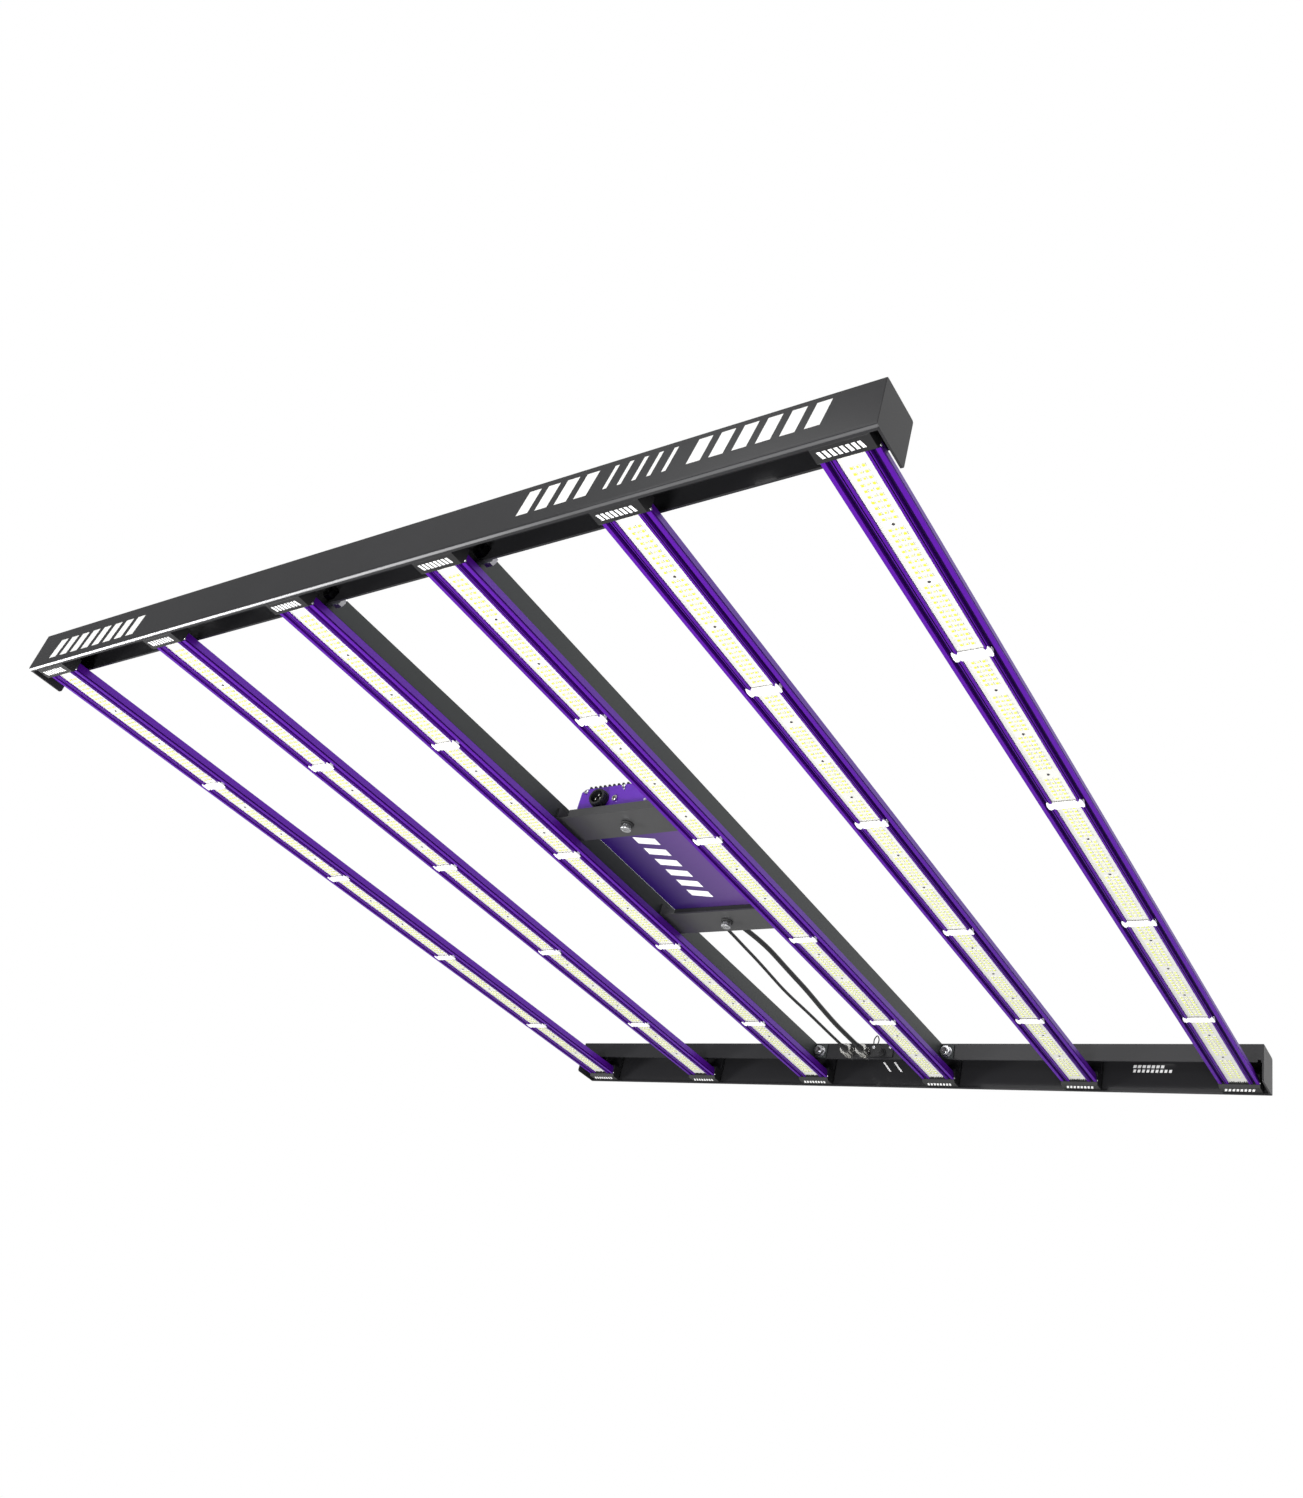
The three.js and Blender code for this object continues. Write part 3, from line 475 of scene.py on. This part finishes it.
def make_materials():
    """Every finish by name: two close colours, roughness, metallic, patch and grain in mm, relief."""
    rows = {
        "beam": ("grey_powder_coat", (40, 44, 44), (46, 50, 50), 0.5, 0, 120, 0.9, 0.04),
        "bracket": ("bracket_coat", (54, 54, 55), (60, 60, 61), 0.4, 0, 60, 0.9, 0.04),
        "board": ("white_solder_mask", (210, 210, 204), (218, 218, 212), 0.55, 0, 25, 0.5, 0.01),
        "plastic": ("black_moulding", (17, 17, 19), (21, 21, 23), 0.48, 0, 25, 0.5, 0.04),
        "steel": ("zinc_plated_steel", (196, 197, 200), (214, 214, 216), 0.28, 1, 5, 0.3, 0.01),
        "nickel": ("nickel_plate", (206, 205, 200), (222, 221, 217), 0.22, 1, 6, 0.3, 0.008),
        "fins": ("black_anodise", (24, 24, 28), (30, 30, 34), 0.45, 0.4, 40, 0.6, 0.015),
        "circuit": ("green_board", (28, 92, 52), (36, 108, 62), 0.45, 0, 12, 0.8, 0.03),
        "rubber": ("black_rubber", (22, 22, 23), (28, 28, 29), 0.68, 0, 14, 0.5, 0.05),
        "sheath": ("cable_sheath", (24, 25, 26), (30, 31, 32), 0.5, 0, 10, 0.6, 0.03),
        "clip": ("white_nylon", (246, 245, 250), (252, 251, 254), 0.4, 0, 8, 0.5, 0.02),
        "package": ("led_package", (212, 212, 196), (220, 220, 206), 0.55, 0, 3, 0.4, 0.01),
        "phosphor": ("led_phosphor", (214, 224, 50), (222, 232, 72), 0.45, 0, 6, 0.3, 0.01),
        "pale_phosphor": ("led_phosphor_pale", (226, 228, 110), (234, 236, 140), 0.45, 0, 6, 0.3, 0.01),
        "print": ("white_print", (240, 240, 240), (248, 248, 248), 0.55, 0, 8, 0.5, 0.005),
        "dark_steel": ("dark_screw_steel", (96, 92, 96), (118, 114, 118), 0.4, 0.9, 2, 0.3, 0.01),
    }
    made = {key: surface(*values)[0] for key, values in rows.items()}
    made["rail"] = rail_finish()
    made["purple"] = purple_finish()
    made["driver"] = driver_finish()
    made["driver_end"] = driver_end_finish()
    made["bolt"] = bolt_finish()
    return made


# ------------------------------------------------------------------ cables
POWER_ROUTE = [
    (-18, 138.8, 46), (-17.9, 146, 46), (-17.2, 154, 45.8), (-15.6, 163, 45.2), (-12.9, 173, 44.4),
    (-9.4, 186, 43.2), (-6.4, 200, 42), (-4, 217, 40.7), (-3, 238, 39.3), (-2.8, 262, 37.9),
    (-2.6, 290, 36.5), (-2.6, 316, 35.4), (-3.8, 343, 34.6), (-5.4, 367, 34.1), (-7.2, 397, 33.7),
    (-8.6, 425, 33.5), (-9, 455, 33.5), (-9, 475, 33.5), (-9, 490.4, 33.5),
]
DIMMING_ROUTE = [
    (-38, 138.8, 46), (-38, 146, 45.8), (-37.9, 154, 45.4), (-37.7, 163, 44.6), (-37.4, 173, 43.6),
    (-36.6, 186, 42.5), (-35.6, 210, 40.7), (-34.9, 235, 39.3), (-34.8, 262, 37.8),
    (-35.4, 290, 36.5), (-36, 318, 35.4), (-35.4, 345, 34.6), (-34.2, 371, 34.1),
    (-33.2, 397, 33.6), (-32.8, 425, 33.3), (-33, 455, 33.4), (-33, 475, 33.5), (-33, 490.4, 33.5),
]


def make_cable(name, node, route, diameter):
    """One free cable as a smooth curve through its route, from its grommet to its plug."""
    data = bpy.data.curves.new(name, "CURVE")
    data.dimensions = "3D"
    data.bevel_depth = diameter / 2 * MM
    data.bevel_resolution = 5
    data.resolution_u = 8
    spline = data.splines.new("BEZIER")
    spline.bezier_points.add(len(route) - 1)
    for knot, point in zip(spline.bezier_points, route):
        knot.co = Vector(point) * MM
        knot.handle_left_type = knot.handle_right_type = "AUTO"
    cable = bpy.data.objects.new(name, data)
    bpy.context.scene.collection.objects.link(cable)
    data.materials.append(materials["sheath"])
    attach(cable, "frame")
    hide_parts(node)


# ------------------------------------------------------------------ LED bars
def led_stations():
    """Where the diodes sit along a board: every pitch, apart from its screws and clips."""
    screw_gap, clip_gap = 4.4, 8.6
    count = int(-2 * FIRST_LED_Y / LED_PITCH) + 1
    ys = [FIRST_LED_Y + k * LED_PITCH for k in range(count)]
    ys = [y for y in ys if all(abs(y - screw) > screw_gap for screw in SCREW_YS)]
    return [y for y in ys if all(abs(y - clip) > clip_gap for clip in CLIP_YS)]


def make_leds(bar):
    """Three rows of diodes: a white package with a square of phosphor on its face."""
    half, proud = 1.6, 0.7
    bm = bmesh.new()
    for k, y in enumerate(led_stations()):
        for row in LED_ROWS:
            x = bar_middle(bar) + row
            add_box(bm, (x - half, y - half, BOARD_FACE - proud), (x + half, y + half, BOARD_FACE + 0.05))
            weak = row == 0
            lit = 0.85 if weak else 1.15
            tone = 2 if weak and k % 2 else 1
            low = (x - lit, y - lit, BOARD_FACE - proud - 0.08)
            add_box(bm, low, (x + lit, y + lit, BOARD_FACE - proud + 0.1), tone)
    finishes = [materials[key] for key in ("package", "phosphor", "pale_phosphor")]
    make_piece(f"leds_{bar}", bm, finishes)


def make_clips(bar):
    """Four nylon straps across the bar's lips, with ears, and claws in the grooves beside them."""
    ear = [(10.8, 5.6), (11.6, 4.0), (12.8, 5.2), (14.8, 6.3), (16.2, 5.2), (16.9, 2.5), (16.8, -2.5),
           (16.0, -5.6), (14.9, -6.7), (13.7, -4.2), (12.6, -2.6), (11.6, -3.0), (10.8, -5.2)]
    outline = ear + [(-u, v) for u, v in reversed(ear)]
    low, middle = BAR_FACE - 1.2, bar_middle(bar)
    claw_inner, claw_outer, claw_half = 15.9, 16.7, 2.4
    bm = bmesh.new()
    for clip_y in CLIP_YS:
        def at_clip(u, v, w):
            return Vector((middle + u, clip_y + v, w))
        add_prism(bm, outline, low, BAR_FACE + 0.02, at_clip)
        for side in (-1, 1):
            left, right = sorted((middle + side * claw_inner, middle + side * claw_outer))
            add_box(bm, (left, clip_y - claw_half, low + 0.5), (right, clip_y + claw_half, BAR_FACE + 3))
    make_piece(f"board_clips_{bar}", bm, [materials["clip"]], bevel=0.4)


def make_bar_fixings(bar):
    """The board's pan head screws, and a small pin at each corner of the bar."""
    middle = bar_middle(bar)
    pin_x, pin_y, pin_z = 22.9, BOARD_END + 0.6, 6.9
    bm = bmesh.new()
    for y in SCREW_YS:
        add_turned(bm, pan_head(1.3, 0.7, -1), (middle, y, BOARD_FACE), "z", 16)
    for side in (-1, 1):
        for end in (-1, 1):
            centre = (middle + side * pin_x, end * pin_y, pin_z)
            add_turned(bm, pan_head(1.3, 1.4, side), centre, "x", 16, 1)
    finishes = [materials["dark_steel"], materials["steel"]]
    make_piece(f"bar_fixings_{bar}", bm, finishes, smooth_angle=40)


def make_block_marks(bar):
    """A white mark under each end block, which starts and ends this far in from the rail's face."""
    middle = bar_middle(bar)
    outer_edge, inner_edge = 10.3, 17.0
    low, high = BLOCK_FACE - 0.15, BLOCK_FACE + 0.05
    bm = bmesh.new()
    for end in (-1, 1):
        def under_block(u, v, w):
            return Vector((middle + u, end * (FAR_FACE_Y - v), w))
        add_bar_row(bm, -19.4, 16.6, outer_edge, inner_edge, 8, under_block, low, high)
    make_piece(f"block_marks_{bar}", bm, [materials["print"]])


def make_board_combs(bar):
    """The black comb of the connector that overlaps the far end of the board."""
    middle = bar_middle(bar)
    root, half_width = BOARD_END - 1.2, 10.9
    teeth, tooth_pitch, tooth_half = 9, 2.4, 0.45
    long_tooth, short_tooth = 3.4, 2.0
    low, high = BOARD_FACE - 1.1, BOARD_FACE + 0.05
    bm = bmesh.new()
    add_box(bm, (middle - half_width, root, low), (middle + half_width, BOARD_END + 0.2, high))
    for k in range(teeth):
        x = middle + tooth_pitch * (k - (teeth - 1) / 2)
        tip = root - (long_tooth if k % 3 else short_tooth)
        add_box(bm, (x - tooth_half, tip, low + 0.2), (x + tooth_half, root + 0.1, high))
    make_piece(f"board_comb_{bar}", bm, [materials["plastic"]], bevel=0.12)


# ------------------------------------------------------------------ driver
def make_plate_details():
    """The near plate's screws and its indicator."""
    corner_x, upper_z, lower_z, head = 61, 62.6, 34.5, 1.6
    outer_screws = ((-corner_x, upper_z, 3), (corner_x, upper_z, 3), (-8, 64, 2.6), (-5.8, 59.6, 1.2))
    bm = bmesh.new()
    for x, z, radius in outer_screws:
        add_turned(bm, pan_head(radius, head, -1), (x, PLATE_LOW.y, z), "y", 24)
    for z in (upper_z, lower_z):
        for x in (-corner_x, corner_x):
            add_turned(bm, pan_head(3, head, 1), (x, PLATE_HIGH.y, z), "y", 24)
    make_piece("plate_screws", bm, [materials["steel"]], smooth_angle=40)

    bm = bmesh.new()
    lens = [(0, -1.6), (0.9, -1.4), (1.6, -0.8), (1.9, 0.1), (0, 0.1)]
    add_turned(bm, lens, (27.6, PLATE_LOW.y, 41.7), "y", 24)
    make_piece("indicator", bm, [materials["clip"]], smooth_angle=60)


def make_driver_mark():
    """The white mark under the tray: its bars stand across Y."""
    def under_tray(u, v, w):
        return Vector((v, u, w))

    low, high = TRAY_LOW.z - 0.15, TRAY_LOW.z + 0.1
    bm = bmesh.new()
    add_bar_row(bm, -74, 70, -21, 5, 6, under_tray, low, high, duty=0.55, lean=0.3)
    make_piece("driver_mark", bm, [materials["print"]])


def make_inlet_details():
    """The mains inlet's three contacts and the ribs round its cup."""
    centre = (INLET_LOW + INLET_HIGH) / 2
    front = INLET_LOW.y
    contact_tip, contact_root = front + 3.2, front + 8.2
    rib_middle = front + 3.2
    bm = bmesh.new()
    for dx, dz in ((-3.2, -1.6), (3.2, -1.6), (0, 3.4)):
        x, z = centre.x + dx, centre.z + dz
        add_box(bm, (x - 0.9, contact_tip, z - 1.6), (x + 0.9, contact_root, z + 1.6))
    make_piece("inlet_contacts", bm, [materials["nickel"]], bevel=0.3)

    ribs, rib_radius = 18, 10.2
    spot = Matrix.Translation((centre.x, rib_middle, centre.z))
    out = Matrix.Translation((0, 0, rib_radius))
    shape = Matrix.Diagonal((1.7, 5.2, 1.1, 1))
    bm = bmesh.new()
    for k in range(ribs):
        spin = Matrix.Rotation(2 * math.pi * k / ribs, 4, "Y")
        rib = bmesh.ops.create_cube(bm, size=1)["verts"]
        bmesh.ops.transform(bm, verts=rib, matrix=spot @ spin @ out @ shape)
    make_piece("inlet_ribs", bm, [materials["plastic"]], bevel=0.25)


def make_driver_screw_details():
    """A collar on the bracket round each captive screw, and turned rings on the screw's barrel."""
    ring_heights, ring_low, ring_high = (17.1, 18.4, 19.7), 0.15, 0.65
    barrel, ring_radius = 4.3, 4.65
    for where in ("near", "far"):
        low, high = node_box(f"{where}_driver_screw")
        centre = ((low.x + high.x) / 2, (low.y + high.y) / 2, 0)
        plate = node_box(f"{where}_driver_bracket")[0].z
        bm = bmesh.new()
        collar = [(4.7, plate + 0.1), (4.7, plate - 1.8), (5.4, plate - 2.3), (6.6, plate - 2.3),
                  (7.5, plate - 1.2), (7.5, plate + 0.1), (4.7, plate + 0.1)]
        add_turned(bm, collar, centre, "z", 32)
        make_piece(f"{where}_screw_collar", bm, [materials["rubber"]], smooth_angle=30)
        bm = bmesh.new()
        for z in ring_heights:
            ring = [(barrel, z), (ring_radius, z + ring_low), (ring_radius, z + ring_high),
                    (barrel, z + ring_low + ring_high), (barrel, z)]
            add_turned(bm, ring, centre, "z", 32)
        make_piece(f"{where}_screw_rings", bm, [materials["steel"]],
                   body=f"{where}_screw", smooth_angle=30)


# ------------------------------------------------------------------ far rail
def make_port_screws():
    bm = bmesh.new()
    for x in (PORT_X - PORT_SCREW_X, PORT_X + PORT_SCREW_X):
        add_turned(bm, pan_head(2.6, 1.7, -1), (x, FLANGE_Y - PORT_PLATE, PORT_Z), "y", 20)
    make_piece("port_screws", bm, [materials["steel"]], smooth_angle=40)


def make_bolt_ends():
    """The dished end of each beam bolt, which points into the light."""
    dish = [(0, 0.1), (2.4, 0.1), (3.5, 0.45), (3.7, 0), (3.7, -0.2), (0, -0.2)]
    bm = bmesh.new()
    for side in ("left", "right"):
        for where, sign in (("near", 1), ("far", -1)):
            low, high = node_box(f"{side}_beam_{where}_bolt")
            tip = high.y if sign > 0 else low.y
            centre = ((low.x + high.x) / 2, tip, (low.z + high.z) / 2)
            add_turned(bm, [(radius, along * sign) for radius, along in dish], centre, "y", 20)
    make_piece("bolt_ends", bm, [materials["dark_steel"]], smooth_angle=40)


def make_wall_marks():
    """Two slanted lines by the port and a small block of bars, on the far rail's inner wall."""
    def on_wall(u, v, w):
        return Vector((u, w, v))

    low, high = FAR_FACE_Y - SHEET - 0.15, FAR_FACE_Y - SHEET + 0.1
    bm = bmesh.new()
    add_bar_row(bm, 12, 46, 24, 38, 2, on_wall, low, high, duty=0.16, lean=-0.9)
    add_bar_row(bm, 352, 402, 27.5, 31.5, 9, on_wall, low, high, duty=0.6, lean=0.2)
    add_bar_row(bm, 352, 392, 33.5, 37.5, 7, on_wall, low, high, duty=0.7, lean=0.2)
    make_piece("wall_marks", bm, [materials["print"]])


# ------------------------------------------------------------------ build
materials = make_materials()
make_camera()
make_studio()
make_cable("power_lead", "power_cable", POWER_ROUTE, 6.5)
make_cable("dimming_lead", "dimming_cable", DIMMING_ROUTE, 4.0)
for bar_number in BARS:
    make_leds(bar_number)
    make_clips(bar_number)
    make_bar_fixings(bar_number)
    make_block_marks(bar_number)
    make_board_combs(bar_number)
make_plate_details()
make_driver_mark()
make_inlet_details()
make_driver_screw_details()
make_port_screws()
make_bolt_ends()
make_wall_marks()

NODE_FINISH = {
    "rail": ["near_rail", "far_rail"],
    "beam": ["left_beam", "right_beam"],
    "bracket": ["near_driver_bracket", "far_driver_bracket"],
    "purple": [f"heatsink_{i}" for i in BARS],
    "board": [f"led_board_{i}" for i in BARS],
    "plastic": [f"{end}_bar_end_{i}" for end in ("near", "far") for i in BARS]
    + ["mains_inlet", "control_port"],
    "bolt": [f"{side}_beam_{end}_bolt" for side in ("left", "right") for end in ("near", "far")],
    "steel": ["near_driver_screw", "far_driver_screw"],
    "nickel": ["dimming_jack", "power_socket", "dimming_socket", "power_coupling_ring",
               "dimming_coupling_ring"],
    "driver": ["driver_tray"],
    "driver_end": ["driver_near_plate", "driver_far_plate"],
    "fins": ["driver_fin_cover"],
    "circuit": ["driver_circuit"],
    # The driver pads are black rubber strips under the driver; their black also serves as painted shadow
    # for the gap between the driver and its brackets.
    "rubber": ["near_driver_pad", "far_driver_pad", "power_grommet", "dimming_grommet",
               "power_plug", "dimming_plug", "dust_cap", "cap_lanyard", "bar_harness"],
    "sheath": ["power_cable", "dimming_cable"],
}
for finish_name, names in NODE_FINISH.items():
    for node_name in names:
        finish_node(node_name, materials[finish_name])

EDGE_WIDTH = {"rail": 0.55, "beam": 0.5, "bracket": 0.9, "plastic": 0.4, "driver": 0.7,
              "driver_end": 0.7, "fins": 0.2}
for finish_name, width in EDGE_WIDTH.items():
    for node_name in NODE_FINISH[finish_name]:
        soften(nodes[node_name], width, steps=3, angle=20 if finish_name == "rail" else 35)
